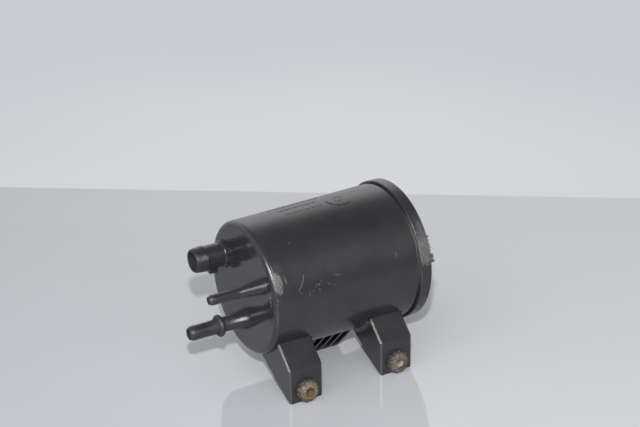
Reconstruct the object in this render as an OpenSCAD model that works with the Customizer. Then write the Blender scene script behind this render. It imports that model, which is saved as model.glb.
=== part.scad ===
// Vapour canister: a moulded drum with three ports, two threaded mounting feet and a ribbed foot,
// closed by a welded end cap over two spring-loaded packs of filter pads and carbon granules.
// Before placing, the drum's axis is the X axis and its front face, the one with the ports, is at x = 0.
// The mounting feet look towards -Y. Placed, the part stands on the ground at z = 0, centred over the origin.

/* [Drum] */
// Length of the drum from its front face to its rear edge
drum_len = 102.5; // [96:0.5:112]
// Outer diameter behind the rounded front rim
drum_front_d = 86.5; // [84:0.5:90]
// Outer diameter at the rear edge
drum_rear_d = 90; // [88:0.5:92]
// Thickness of the side wall
drum_wall = 2.4; // [1.8:0.1:3]
// Thickness of the front wall
front_wall = 3; // [2.4:0.1:4]
// Radius of the rounded front rim
rim_round = 3.4; // [3:0.1:6]
// Place of the inner dividing wall across the drum
divider_y = 8; // [5:0.5:10]
// Thickness of the inner dividing wall
divider_t = 2; // [1.6:0.1:3]
// Height of the stand-off pips behind the front wall
pip_h = 3; // [2:0.5:5]
// Diameter of a stand-off pip
pip_d = 4; // [3:0.5:6]
// Diameter of the circle on which the stand-off pips lie
pip_ring_d = 66; // [62:1:70]
// Number of stand-off pips
pip_count = 6; // [4:1:8]

/* [End cap] */
// Outer diameter of the cap's rim
cap_d = 93; // [92.5:0.5:98]
// Width of the cap's rim along the axis
cap_rim_w = 8; // [6:0.5:12]
// Width of the groove left between the drum and the cap's rim
groove_w = 1.7; // [1:0.1:3]
// Depth of that groove below the drum's skin
groove_depth = 1.1; // [0.6:0.1:1.4]
// Thickness of the cap's end plate
cap_plate_t = 3; // [2:0.1:4]
// Length of the spigot that centres the cap in the drum
spigot_len = 5; // [3:0.5:7]
// Thickness of that spigot
spigot_t = 2; // [1.4:0.1:3]
// Radial clearance between the spigot and the drum
spigot_fit = 0.2; // [0.1:0.05:0.4]
// Bevel on the edges of the cap's rim
cap_edge = 0.8; // [0.4:0.1:1.5]

/* [Mounting feet] */
// Height of the drum's axis over the ground
axis_h = 61.4; // [58:0.1:66]
// Distance from the axis to the outer faces of the feet
foot_reach = 49; // [47:0.5:54]
// Width of a foot along the axis
foot_w = 23.5; // [20:0.1:26]
// Gap between the front face and the first foot
foot_front_x = 4.8; // [2.6:0.2:6]
// Distance between the two feet, and between the two threaded holes
foot_pitch = 66.7; // [60:0.1:68]
// Height of a foot's upright outer face
foot_face_h = 23.1; // [20:0.1:26]
// Slope of a foot's top
foot_top_angle = 44; // [40:1:50]
// Slope of a foot's underside
foot_under_angle = 28.8; // [26:0.2:34]
// Thickness of a foot's walls
foot_wall = 2.8; // [2.2:0.1:3.6]
// Bevel on a foot's outer edges
foot_edge = 1.1; // [0.5:0.1:2]
// Radius of the fillets between the feet's flanks and the drum
foot_fillet = 3; // [1.5:0.5:4]

/* [Threaded inserts] */
// Height of the threaded holes over the ground
insert_h = 7.8; // [7.8:0.1:9]
// Diameter over the teeth of an insert's head
insert_head_d = 15; // [13:0.5:15]
// Number of teeth around the head
insert_teeth = 12; // [8:1:16]
// Diameter of the rounded notches between the teeth
insert_notch_d = 2.2; // [1.6:0.1:2.4]
// Height of the head over the foot's outer face
insert_proud = 4.8; // [3:0.1:6]
// Diameter of the shank held in the foot
insert_shank_d = 9.6; // [8:0.2:10]
// Length of the shank
insert_shank_len = 5; // [4:0.5:6]
// Diameter of the threaded hole at its crests
insert_hole_d = 5; // [4.2:0.1:6]
// Diameter of the countersink at the hole's mouth
insert_sink_d = 6.2; // [6.1:0.1:7]

/* [Ribbed foot] */
// Number of ribs
rib_count = 6; // [4:1:6]
// Place of the rearmost rib behind the front face
rib_last_x = 69.2; // [66:0.2:70]
// Distance between ribs
rib_pitch = 6.9; // [5:0.1:7]
// Thickness of a rib
rib_t = 1.5; // [1.2:0.1:2.4]
// Place of the toe, where the ribs' sloping edges reach the ground
toe_y = 1; // [0:0.5:4]
// Place of the heel on the ground
heel_y = 15; // [12:0.5:20]
// Slope of the ribs' front edges
rib_angle = 47.6; // [44:0.2:54]
// How far the ribs' back edges lean out between the ground and the drum
heel_lean = 4; // [2:0.5:6]
// Thickness of the upright web that joins the ribs
web_t = 3; // [2:0.1:4]

/* [Tank port] */
// Sideways place of the tank port on the front face
tank_y = -3.6; // [-6:0.1:-2]
// Height of the tank port over the axis
tank_z = -19.2; // [-21:0.1:-16]
// Outer diameter of the tank port's tube
tank_d = 9.49; // [8:0.01:10]
// Length of the tank port
tank_len = 40.5; // [37:0.5:46]
// Diameter of the tank port's bore
tank_bore = 6.2; // [5:0.1:7]
// Place of the locking bead from the front face
tank_bead_x = 19.5; // [17.5:0.1:22]
// Diameter over the locking bead
tank_bead_d = 14.2; // [12:0.1:15.6]
// Thickness of the locking bead's round section
tank_bead_t = 3.8; // [3.2:0.1:4.6]
// Diameter of the tank port's cone at the face
tank_root_d = 14.2; // [12:0.1:16]
// Length of the tank port's cone
tank_root_len = 13.5; // [10:0.5:15]
// Length of the taper at the tank port's end
tank_lead = 2.2; // [1.6:0.1:2.6]
// Rounding of the tank port's tip
tank_tip = 0.4; // [0.3:0.1:0.5]

/* [Purge port] */
// Sideways place of the purge port on the front face
purge_y = -28.2; // [-29:0.1:-25]
// Height of the purge port over the axis
purge_z = 14; // [12:0.1:16]
// Outer diameter of the purge port's tube
purge_d = 6.5; // [5.8:0.1:7]
// Length of the purge port
purge_len = 37.7; // [34:0.1:42]
// Diameter of the purge port's bore
purge_bore = 3.4; // [2.6:0.1:4]
// Diameter of the purge port's cone at the face
purge_root_d = 10.8; // [9.4:0.1:12.4]
// Length of the purge port's cone
purge_root_len = 17.8; // [12:0.1:20]
// Diameter of the stop ring in front of the cone
purge_ring_d = 7.2; // [7.2:0.1:8.6]
// Width of the stop ring
purge_ring_w = 1.4; // [1:0.1:2.5]
// Length of the taper at the purge port's end
purge_lead = 1.8; // [1.2:0.1:2.1]
// Rounding of the purge port's tip
purge_tip = 0.3; // [0.2:0.1:0.4]

/* [Vent port] */
// Sideways place of the vent port on the front face
vent_y = 25.6; // [23:0.1:26]
// Height of the vent port over the axis
vent_z = 14; // [11:0.1:15]
// Outer diameter of the vent port's tube
vent_d = 15.8; // [14.6:0.1:16.4]
// Length of the vent port
vent_len = 21.8; // [20:0.1:28]
// Diameter of the vent port's bore
vent_bore = 12; // [10:0.1:12.4]
// Diameter at the top of the vent port's barb
vent_barb_d = 17; // [16.6:0.1:17.4]
// Place of the barb's top from the front face
vent_barb_x = 13.8; // [13:0.1:16]
// Diameter of the vent port's collar
vent_collar_d = 18.2; // [17.6:0.1:19]
// Length of the vent port's collar
vent_collar_len = 2.5; // [1.8:0.1:4]
// Rounding of the vent port's collar
vent_collar_round = 1.1; // [0.6:0.1:1.2]
// Length of the taper at the vent port's end
vent_lead = 1.6; // [1:0.1:2]
// Rounding of the vent port's tip
vent_tip = 0.4; // [0.2:0.1:0.5]
// Distance from the vent port's axis to the foot of the lug below it
vent_lug_r = 10.8; // [9.4:0.1:11]
// Length of that lug along the port
vent_lug_len = 5.6; // [3:0.1:6]
// Width of that lug
vent_lug_w = 5; // [3:0.1:6]
// Place of the lug's middle from the front face
vent_lug_x = 8.2; // [8:0.1:10]

/* [Filter packs] */
// Thickness of a filter pad
pad_t = 4; // [3:0.5:6]
// Length of the carbon beds
bed_len = 66; // [56:1:66]
// Thickness of a retainer plate
retainer_t = 3; // [2.4:0.1:4]
// Clearance around a retainer plate
retainer_fit = 0.4; // [0.2:0.1:0.8]
// Diameter of the holes in a retainer plate
sieve_d = 4; // [3:0.1:4.6]
// Distance between those holes
sieve_pitch = 7; // [6.4:0.1:8]
// Distance kept between a plate's edge and the middle of its holes
sieve_edge = 4; // [3.5:0.1:6]

/* [Springs] */
// Outer diameter of the spring behind the larger pack
main_spring_d = 24; // [20:0.5:26]
// Outer diameter of the spring behind the smaller pack
vent_spring_d = 17; // [15:0.5:18]
// Thickness of the spring wire
wire_d = 1.6; // [1.2:0.1:2]
// Number of turns
spring_turns = 5; // [4:1:6]
// Height of the round seats that hold a spring's ends
seat_h = 3; // [2:0.5:4]
// Clearance between a seat and its spring
seat_fit = 0.5; // [0.3:0.1:1]
// Thickness of a seat's ring
seat_wall = 2; // [1.4:0.1:2.5]
// Distance from the dividing wall to the middle of the larger spring
main_spring_gap = 21; // [18:0.5:22]
// Distance from the dividing wall to the middle of the smaller spring
vent_spring_gap = 14; // [12:0.5:16]

/* [Hidden] */
$fn = 64;
overrun = 1;
overlap = 0.5;
far_out = 200;
corner_step = 15;
lead_angle = 25;
fillet_step = 30;
slope = (drum_rear_d - drum_front_d) / 2 / (drum_len - rim_round);
function skin_r(x) = drum_front_d / 2 + slope * (x - rim_round);
function room_r(x) = skin_r(x) - drum_wall;
cap_x = drum_len + groove_w;
cap_back = cap_x + cap_rim_w;
cap_floor = cap_back - cap_plate_t;
spigot_r = room_r(drum_len - spigot_len) - spigot_fit;
divider_near = divider_y - divider_t / 2;
divider_far = divider_y + divider_t / 2;
pad_x = front_wall + pip_h;
bed_x = pad_x + pad_t;
back_pad_x = bed_x + bed_len;
retainer_x = back_pad_x + pad_t;
spring_x = retainer_x + retainer_t;
spring_len = cap_floor - spring_x;
divider_end = spring_x + retainer_t;
main_spring_y = divider_near - main_spring_gap;
vent_spring_y = divider_far + vent_spring_gap;
foot_run_in = drum_front_d / 4;
foot_mid_z = foot_face_h - axis_h;
insert_z = insert_h - axis_h;
insert_x = foot_front_x + foot_w / 2;
sink_depth = (insert_sink_d - insert_hole_d) / 2;
rib_first_x = rib_last_x - (rib_count - 1) * rib_pitch;
rib_top_z = 3 * drum_wall - drum_front_d / 2;
x_mid = (cap_back - tank_len) / 2;
y_mid = (cap_d / 2 - foot_reach - insert_proud) / 2;
pad_colour = [0.82, 0.8, 0.74];
carbon_colour = [0.07, 0.07, 0.07];
plastic_colour = [0.16, 0.16, 0.17];
plate_colour = [0.3, 0.3, 0.31];
metal_colour = [0.66, 0.6, 0.42];
wire_colour = [0.62, 0.63, 0.65];

module place() translate([-x_mid, -y_mid, axis_h]) children();

// Turns a shape standing on the XY plane so that it grows along +X.
module along_axis() rotate([0, 90, 0]) children();

// Turns a shape standing on the XY plane so that it grows along -X.
module out_of_face() rotate([0, -90, 0]) children();

// Turns a shape standing on the XY plane so that it grows along -Y.
module out_of_foot() rotate([90, 0, 0]) children();

// Extrudes a section drawn in Y and Z along X.
module section_along(x, w) translate([x, 0, 0]) rotate([90, 0, 90]) linear_extrude(w) children();

// The space between two cross planes, inside the drum's wall.
module room(x0, x1) translate([x0, 0, 0]) along_axis()
    cylinder(h = x1 - x0, r1 = room_r(x0), r2 = room_r(x1));

// A half space on the near side of the dividing wall, or on the far side.
module near_side(limit) translate([0, limit - far_out, -far_out / 2]) cube(far_out);
module far_side(limit) translate([0, limit, -far_out / 2]) cube(far_out);

module drum_skin() along_axis() rotate_extrude() {
    polygon([
        [0, 0],
        [drum_front_d / 2 - rim_round, 0],
        [drum_front_d / 2 - rim_round, rim_round],
        [drum_front_d / 2, rim_round],
        [drum_rear_d / 2, drum_len],
        [0, drum_len]
    ]);
    translate([drum_front_d / 2 - rim_round, rim_round]) intersection() {
        circle(r = rim_round);
        translate([0, -rim_round]) square(rim_round);
    }
}

// Rounded outer corner of a tube's end, as a fan of points from its side round to its end face.
function corner(r, h, size) =
    [for (a = [0 : corner_step : 90]) [r - size + size * cos(a), h - size + size * sin(a)]];

// End of a port: a taper of the length given by lead, which a hose or connector slides over, and a
// rounded corner.
function nose(r, h, lead, size) =
    concat([[r, h - lead]], corner(r - (lead - size) * tan(lead_angle), h, size));

// Turns an outline of radius and height around the port's axis; the outline starts inside the front wall.
module turned(outline) rotate_extrude() polygon(concat([[0, -overlap], [outline[0][0], -overlap]], outline));

module tank_tube() translate([0, tank_y, tank_z]) out_of_face() {
    turned(concat(
        [[tank_root_d / 2, 0], [tank_d / 2, tank_root_len]],
        nose(tank_d / 2, tank_len, tank_lead, tank_tip),
        [[0, tank_len]]
    ));
    translate([0, 0, tank_bead_x]) rotate_extrude()
        translate([tank_bead_d / 2 - tank_bead_t / 2, 0]) circle(d = tank_bead_t);
}

module purge_tube() translate([0, purge_y, purge_z]) out_of_face() {
    turned(concat(
        [[purge_root_d / 2, 0], [purge_d / 2, purge_root_len]],
        nose(purge_d / 2, purge_len, purge_lead, purge_tip),
        [[0, purge_len]]
    ));
    translate([0, 0, purge_root_len]) cylinder(h = purge_ring_w, d = purge_ring_d);
}

module vent_tube() translate([0, vent_y, vent_z]) {
    out_of_face() turned(concat(
        [[vent_collar_d / 2, 0]],
        corner(vent_collar_d / 2, vent_collar_len, vent_collar_round),
        [[vent_d / 2, vent_collar_len]],
        [[vent_d / 2, vent_barb_x - vent_barb_d / 2 + vent_d / 2], [vent_barb_d / 2, vent_barb_x]],
        nose(vent_d / 2, vent_len, vent_lead, vent_tip),
        [[0, vent_len]]
    ));
    translate([-vent_lug_x - vent_lug_len / 2, -vent_lug_w / 2, -vent_lug_r])
        cube([vent_lug_len, vent_lug_w, vent_lug_r - vent_bore / 2 - overlap]);
}

// Section of a foot, carried on into the drum. Its outer face and its top are set in by inset, and its
// underside is let down by drop.
function foot_section(inset, drop) = [
    [-foot_reach + inset, -axis_h + inset * tan(foot_under_angle) - drop],
    [-foot_reach + inset, foot_mid_z - inset * tan(foot_top_angle / 2)],
    [-foot_reach + inset + foot_run_in,
        foot_mid_z - inset * tan(foot_top_angle / 2) + foot_run_in * tan(foot_top_angle)],
    [-foot_reach + 2 * foot_run_in, -axis_h + 2 * foot_run_in * tan(foot_under_angle) - drop]
];

// A square bar along +Z, on edge, that cuts a bevel of foot_edge where it lies along an edge.
module bevel_bar(run) rotate([0, 0, 45])
    translate([-foot_edge * sqrt(0.5), -foot_edge * sqrt(0.5), -foot_edge])
    cube([foot_edge * sqrt(2), foot_edge * sqrt(2), run + foot_edge]);

// Cuts the bevel along a foot's edges, on the side of the foot that lies at x.
module foot_bevel(x) {
    translate([x, -foot_reach, -axis_h]) bevel_bar(foot_face_h + foot_edge);
    translate([x, -foot_reach, foot_mid_z]) rotate([foot_top_angle - 90, 0, 0])
        bevel_bar(foot_run_in / cos(foot_top_angle));
}

module foot_block(x) difference() {
    section_along(x, foot_w) polygon(foot_section(0, 0));
    foot_bevel(x);
    foot_bevel(x + foot_w);
}

// Hollow of a foot, open below, with a boss left standing around the insert.
module foot_hollow(x) difference() {
    section_along(x + foot_wall, foot_w - 2 * foot_wall) polygon(foot_section(foot_wall, overrun));
    translate([x + foot_w / 2, -foot_reach + insert_shank_len, insert_z]) out_of_foot()
        cylinder(h = insert_shank_len, d = insert_head_d);
}

// Fillet between a foot's flank at x and the drum, growing along X the way given, 1 or -1.
module flank_fillet(x, way) intersection() {
    along_axis() translate([0, 0, x]) mirror([0, 0, way < 0 ? 1 : 0]) rotate_extrude() polygon(concat(
        [[skin_r(x) - overlap, 0]],
        [for (a = [0 : fillet_step : 90])
            [skin_r(x) + foot_fillet * (1 - sin(a)), foot_fillet * (1 - cos(a))]],
        [[skin_r(x) - overlap, foot_fillet]]
    ));
    section_along(x - foot_fillet, 2 * foot_fillet) polygon(foot_section(2 * foot_edge, -overlap));
}

module ribbed_foot() {
    for (i = [0 : rib_count - 1]) section_along(rib_first_x + i * rib_pitch - rib_t / 2, rib_t) polygon([
        [toe_y, -axis_h],
        [heel_y, -axis_h],
        [heel_y + heel_lean, rib_top_z],
        [toe_y - (axis_h + rib_top_z) / tan(rib_angle), rib_top_z]
    ]);
    translate([rib_first_x - rib_t / 2, toe_y, -axis_h])
        cube([rib_last_x - rib_first_x + rib_t, web_t, axis_h + rib_top_z]);
}

// Pips that keep the front pads off the front wall, so that vapour spreads over the whole pad.
module pips() for (i = [0 : pip_count - 1]) rotate([i * 360 / pip_count, 0, 0])
    translate([front_wall - overlap, pip_ring_d / 2, 0]) along_axis()
    cylinder(h = pip_h + overlap, d = pip_d);

// A bore from inside the front wall out through the end of a port.
module port_bore(y, z, run, d) translate([front_wall + overrun, y, z]) out_of_face()
    cylinder(h = run + front_wall + 2 * overrun, d = d);

module canister_body() color(plastic_colour) place() {
    difference() {
        union() {
            drum_skin();
            tank_tube();
            purge_tube();
            vent_tube();
            for (x = [foot_front_x, foot_front_x + foot_pitch]) {
                difference() {
                    foot_block(x);
                    foot_hollow(x);
                }
                flank_fillet(x + foot_w, 1);
            }
            flank_fillet(foot_front_x + foot_pitch, -1);
            ribbed_foot();
        }
        difference() {
            room(front_wall, drum_len + overrun);
            translate([0, divider_near, -far_out / 2]) cube([divider_end, divider_t, far_out]);
        }
        for (x = [insert_x, insert_x + foot_pitch])
            translate([x, -foot_reach + insert_shank_len, insert_z]) out_of_foot()
            cylinder(h = insert_shank_len + overrun, d = insert_shank_d);
        port_bore(tank_y, tank_z, tank_len, tank_bore);
        port_bore(purge_y, purge_z, purge_len, purge_bore);
        port_bore(vent_y, vent_z, vent_len, vent_bore);
    }
    pips();
}

module spring_seat(x, y, d) translate([x, y, 0]) out_of_face() difference() {
    cylinder(h = seat_h, d = d - 2 * wire_d - 2 * seat_fit);
    cylinder(h = seat_h, d = d - 2 * wire_d - 2 * seat_fit - 2 * seat_wall);
}

module end_cap() color(plastic_colour) place() {
    along_axis() difference() {
        rotate_extrude() polygon([
            [0, drum_len - spigot_len],
            [spigot_r, drum_len - spigot_len],
            [spigot_r, drum_len],
            [drum_rear_d / 2 - groove_depth, drum_len],
            [drum_rear_d / 2 - groove_depth, cap_x],
            [cap_d / 2 - cap_edge / 2, cap_x],
            [cap_d / 2, cap_x + cap_edge / 2],
            [cap_d / 2, cap_back - cap_edge],
            [cap_d / 2 - cap_edge, cap_back],
            [0, cap_back]
        ]);
        translate([0, 0, drum_len - spigot_len - overrun])
            cylinder(h = cap_floor - drum_len + spigot_len + overrun, r = spigot_r - spigot_t);
    }
    spring_seat(cap_floor, main_spring_y, main_spring_d);
    spring_seat(cap_floor, vent_spring_y, vent_spring_d);
}

module insert(x) translate([x, -foot_reach, insert_z]) out_of_foot() difference() {
    union() {
        linear_extrude(insert_proud) difference() {
            circle(d = insert_head_d);
            for (i = [0 : insert_teeth - 1]) rotate(i * 360 / insert_teeth - 90)
                translate([insert_head_d / 2, 0]) circle(d = insert_notch_d);
        }
        translate([0, 0, -insert_shank_len]) cylinder(h = insert_shank_len, d = insert_shank_d);
    }
    translate([0, 0, -insert_shank_len - overrun])
        cylinder(h = insert_shank_len + insert_proud + 2 * overrun, d = insert_hole_d);
    translate([0, 0, insert_proud - sink_depth])
        cylinder(h = sink_depth, d1 = insert_hole_d, d2 = insert_sink_d);
}

module front_insert() color(metal_colour) place() insert(insert_x);

module rear_insert() color(metal_colour) place() insert(insert_x + foot_pitch);

// The filling of one half of the drum between two cross planes.
module main_fill(x0, x1) intersection() {
    room(x0, x1);
    near_side(divider_near);
}

module vent_fill(x0, x1) intersection() {
    room(x0, x1);
    far_side(divider_far);
}

module main_front_pad() color(pad_colour) place() main_fill(pad_x, bed_x);

module main_carbon() color(carbon_colour) place() main_fill(bed_x, back_pad_x);

module main_back_pad() color(pad_colour) place() main_fill(back_pad_x, retainer_x);

module vent_front_pad() color(pad_colour) place() vent_fill(pad_x, bed_x);

module vent_carbon() color(carbon_colour) place() vent_fill(bed_x, back_pad_x);

module vent_back_pad() color(pad_colour) place() vent_fill(back_pad_x, retainer_x);

// Rows of round holes between two limits across the drum, all well inside the drum's wall.
module sieve(y0, y1) {
    reach = room_r(retainer_x) - sieve_edge;
    rows = floor(reach / sieve_pitch);
    for (y = [y0 + sieve_edge : sieve_pitch : y1 - sieve_edge]) for (i = [-rows : rows])
        if (norm([y, i * sieve_pitch]) < reach) translate([y, i * sieve_pitch]) circle(d = sieve_d);
}

// A retainer plate that fills the drum between two limits across it.
module retainer(y0, y1) section_along(retainer_x, retainer_t) difference() {
    intersection() {
        circle(r = room_r(retainer_x) - retainer_fit);
        translate([y0, -far_out / 2]) square([y1 - y0, far_out]);
    }
    sieve(y0, y1);
}

module main_retainer() color(plate_colour) place() {
    retainer(-room_r(retainer_x), divider_near - retainer_fit);
    spring_seat(spring_x + seat_h, main_spring_y, main_spring_d);
}

module vent_retainer() color(plate_colour) place() {
    retainer(divider_far + retainer_fit, room_r(retainer_x));
    spring_seat(spring_x + seat_h, vent_spring_y, vent_spring_d);
}

// A round wire wound into a screw line: rings of points joined into one closed skin.
module spring(d) {
    ring = 10;
    steps_per_turn = 24;
    steps = steps_per_turn * spring_turns;
    wire_r = wire_d / 2;
    coil_r = d / 2 - wire_r;
    rise = spring_len - wire_d;
    points = [for (i = [0 : steps]) for (j = [0 : ring - 1])
        let (turn = i * 360 / steps_per_turn, around = j * 360 / ring, r = coil_r + wire_r * sin(around))
        [r * cos(turn), r * sin(turn), wire_r + rise * i / steps - wire_r * cos(around)]];
    skin = [for (i = [0 : steps - 1]) for (j = [0 : ring - 1])
        [i * ring + j, i * ring + (j + 1) % ring, (i + 1) * ring + (j + 1) % ring, (i + 1) * ring + j]];
    first_end = [[for (j = [0 : ring - 1]) ring - 1 - j]];
    last_end = [[for (j = [0 : ring - 1]) steps * ring + j]];
    polyhedron(points, concat(skin, first_end, last_end));
}

module main_spring() color(wire_colour) place()
    translate([spring_x, main_spring_y, 0]) along_axis() spring(main_spring_d);

module vent_spring() color(wire_colour) place()
    translate([spring_x, vent_spring_y, 0]) along_axis() spring(vent_spring_d);

canister_body();
end_cap();
front_insert();
rear_insert();
main_front_pad();
main_carbon();
main_back_pad();
main_retainer();
main_spring();
vent_front_pad();
vent_carbon();
vent_back_pad();
vent_retainer();
vent_spring();
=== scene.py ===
# %% [markdown]
# # Dressing a charcoal canister
# A charcoal canister is a moulded drum that holds fuel vapour back in beds of carbon. The solids made in
# CAD already give its drum, ports, feet and cap at their real sizes, so this lesson keeps them as they
# are. Blender adds what solids can't say: the sheen of the plastic, the marks of years under a bonnet,
# the corroded threaded inserts and the low relief on the skin.

# %% Load the solids
import math
import random

import bmesh
import bpy
from mathutils import Matrix, Vector


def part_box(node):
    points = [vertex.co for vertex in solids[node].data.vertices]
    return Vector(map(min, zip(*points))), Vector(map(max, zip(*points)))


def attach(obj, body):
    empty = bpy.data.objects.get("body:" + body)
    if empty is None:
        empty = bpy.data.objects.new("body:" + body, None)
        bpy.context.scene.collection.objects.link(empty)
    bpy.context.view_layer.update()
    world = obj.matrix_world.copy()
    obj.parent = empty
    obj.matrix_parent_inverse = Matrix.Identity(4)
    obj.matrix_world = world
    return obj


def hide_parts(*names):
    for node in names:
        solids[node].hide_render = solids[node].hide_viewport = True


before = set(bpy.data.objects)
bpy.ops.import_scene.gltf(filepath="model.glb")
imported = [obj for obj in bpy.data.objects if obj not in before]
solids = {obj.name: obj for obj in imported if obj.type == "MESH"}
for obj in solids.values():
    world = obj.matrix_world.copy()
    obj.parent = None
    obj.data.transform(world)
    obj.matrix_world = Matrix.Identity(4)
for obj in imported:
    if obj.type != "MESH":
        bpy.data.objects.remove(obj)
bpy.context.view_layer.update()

MM = 0.001

# %% [markdown]
# Every later step needs to know where the drum lies, so a few places are read off the boxes of the
# solids. The cap is round, and so the middle of its box is the drum's axis. The drum's length and its
# slight taper are the only sizes that no box gives, and they are written down here once.

# %% Measure the drum
DRUM_LEN = 102.5 * MM
DRUM_FRONT_R = 43.25 * MM
DRUM_REAR_R = 45 * MM
RIM_ROUND = 3.4 * MM

cap_low, cap_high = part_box("end_cap")
axis_y = (cap_low.y + cap_high.y) / 2
axis_z = (cap_low.z + cap_high.z) / 2
cap_r = (cap_high.z - cap_low.z) / 2
face_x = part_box("canister_body")[1].x - DRUM_LEN


def skin_radius(behind):
    """Radius of the drum's skin at a distance behind the front face."""
    return DRUM_FRONT_R + (DRUM_REAR_R - DRUM_FRONT_R) * (behind - RIM_ROUND) / (DRUM_LEN - RIM_ROUND)


print("front face at", round(face_x / MM, 2), "axis at", round(axis_y / MM, 2), round(axis_z / MM, 2))

# %% [markdown]
# A material in Blender is a tree of nodes. Wiring one by hand means adding a node, setting it and drawing
# its links, again and again. A few small helpers do just that, so that each finish below reads like its
# recipe.

# %% Helpers for finishes
def new_finish(name):
    """A new material: returns it with its node tree, its shader and its Object coordinates."""
    finish = bpy.data.materials.new(name)
    finish.use_nodes = True
    tree = finish.node_tree
    place = tree.nodes.new("ShaderNodeTexCoord").outputs["Object"]
    return finish, tree, tree.nodes["Principled BSDF"], place


def add_node(tree, kind, sockets, **settings):
    """Adds a node, sets its options, and fills each socket with a value or a link."""
    made = tree.nodes.new(kind)
    for option, value in settings.items():
        setattr(made, option, value)
    for socket, value in sockets.items():
        if isinstance(value, bpy.types.NodeSocket):
            tree.links.new(value, made.inputs[socket])
        else:
            made.inputs[socket].default_value = value
    return made


def math_node(tree, operation, *values):
    """One step of arithmetic between values or links."""
    return add_node(tree, "ShaderNodeMath", dict(enumerate(values)), operation=operation).outputs[0]


def vector_node(tree, operation, *values):
    """One step of arithmetic between points or directions; the result is a point or a number."""
    made = add_node(tree, "ShaderNodeVectorMath", dict(enumerate(values)), operation=operation)
    return made.outputs["Value" if operation in ("DOT_PRODUCT", "DISTANCE", "LENGTH") else "Vector"]


def mapped(tree, value, low, high, new_low=0.0, new_high=1.0):
    """Stretches a range of values to another, with soft ends."""
    sockets = {"Value": value, "From Min": low, "From Max": high, "To Min": new_low, "To Max": new_high}
    return add_node(tree, "ShaderNodeMapRange", sockets, interpolation_type="SMOOTHSTEP").outputs["Result"]


def clouds(tree, place, scale, detail=3.0, roughness=0.55):
    """Cloudy noise between 0 and 1; scale is in clouds per metre."""
    sockets = {"Vector": place, "Scale": scale, "Detail": detail, "Roughness": roughness}
    return add_node(tree, "ShaderNodeTexNoise", sockets).outputs["Fac"]


def blended(tree, share, first, second):
    """A colour between two others."""
    return add_node(tree, "ShaderNodeMix", {0: share, 6: first, 7: second}, data_type="RGBA").outputs[2]


def bumped(tree, height, distance, normal=None):
    """A surface direction that follows a height map; distance is the relief's depth in metres."""
    sockets = {"Height": height, "Distance": distance, "Strength": 1.0}
    if normal is not None:
        sockets["Normal"] = normal
    return add_node(tree, "ShaderNodeBump", sockets).outputs["Normal"]


def colour(red, green, blue):
    """A colour as a node socket wants it."""
    return (red, green, blue, 1.0)


print("helpers for finishes ready")

# %% [markdown]
# Scratches sit at set places on the drum, so the finish needs a map of its skin. Unrolled, the skin is a
# flat sheet: one way is the distance behind the front face, and the other is the way round from the side
# with the feet. The arctangent of a point's height and depth about the axis gives that second way, here
# in millimetres.

# %% A flat map of the skin
MAP_R = 44.0
WANDER_MM = 0.9
WANDER_SCALE = 420.0
SOFT_END = 1.15


def on_map(behind_mm, degrees):
    """A place on the unrolled skin: distance behind the face, and angle up from the feet's side."""
    return Vector((behind_mm, math.radians(degrees) * MAP_R, 0.0))


def unrolled(tree, place):
    """The unrolled skin's coordinates in millimetres."""
    parts = add_node(tree, "ShaderNodeSeparateXYZ", {0: place}).outputs
    behind = math_node(tree, "MULTIPLY", math_node(tree, "SUBTRACT", parts["X"], face_x), 1 / MM)
    up = math_node(tree, "SUBTRACT", parts["Z"], axis_z)
    out = math_node(tree, "SUBTRACT", axis_y, parts["Y"])
    around = math_node(tree, "MULTIPLY", math_node(tree, "ARCTAN2", up, out), MAP_R)
    return add_node(tree, "ShaderNodeCombineXYZ", {0: behind, 1: around, 2: 0.0}).outputs[0]


def noise_vector(tree, place, scale):
    """Cloudy noise that differs in three directions, each between 0 and 1."""
    sockets = {"Vector": place, "Scale": scale, "Detail": 2.0}
    return add_node(tree, "ShaderNodeTexNoise", sockets).outputs["Color"]


def wandering(tree, place, flat):
    """The unrolled skin with a slight wander, so that no mark is ruler straight."""
    noise = noise_vector(tree, place, WANDER_SCALE)
    reach = (WANDER_MM, WANDER_MM, 0.0)
    start = (-WANDER_MM / 2, -WANDER_MM / 2, 0.0)
    return vector_node(tree, "ADD", flat, vector_node(tree, "MULTIPLY_ADD", noise, reach, start))


def stroke(tree, skin, start, end, width):
    """A mask of one scratch between two places on the map; width in millimetres."""
    run = end - start
    away = vector_node(tree, "SUBTRACT", skin, tuple(start))
    share = vector_node(tree, "DOT_PRODUCT", away, tuple(run / run.length_squared))
    share = add_node(tree, "ShaderNodeClamp", {"Value": share}).outputs[0]
    nearest = add_node(tree, "ShaderNodeVectorMath", {0: tuple(run), "Scale": share}, operation="SCALE")
    gap = vector_node(tree, "DISTANCE", away, nearest.outputs["Vector"])
    return mapped(tree, gap, width / 2, width / 8)


def patch(tree, skin, middle, reach, core=0.55):
    """A mask of a soft oval on the map; reach is its half size along and around, core its full part."""
    away = vector_node(tree, "SUBTRACT", skin, tuple(middle))
    shrunk = vector_node(tree, "DIVIDE", away, (reach[0], reach[1], 1.0))
    return mapped(tree, vector_node(tree, "LENGTH", shrunk), SOFT_END, core)


def most(tree, masks):
    """The strongest of several masks at each place."""
    strongest = masks[0]
    for mask in masks[1:]:
        strongest = math_node(tree, "MAXIMUM", strongest, mask)
    return strongest


def strokes(tree, skin, marks):
    """A mask of several scratches, each given by its two ends and its width."""
    masks = [stroke(tree, skin, on_map(*start), on_map(*end), width) for start, end, width in marks]
    return most(tree, masks)


def from_axis(tree, place):
    """The distance of a place from the drum's axis."""
    away = vector_node(tree, "SUBTRACT", place, (0, axis_y, axis_z))
    return vector_node(tree, "LENGTH", vector_node(tree, "MULTIPLY", away, (0, 1, 1)))


print("the skin unrolled is", round(2 * math.pi * MAP_R), "mm around")

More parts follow.
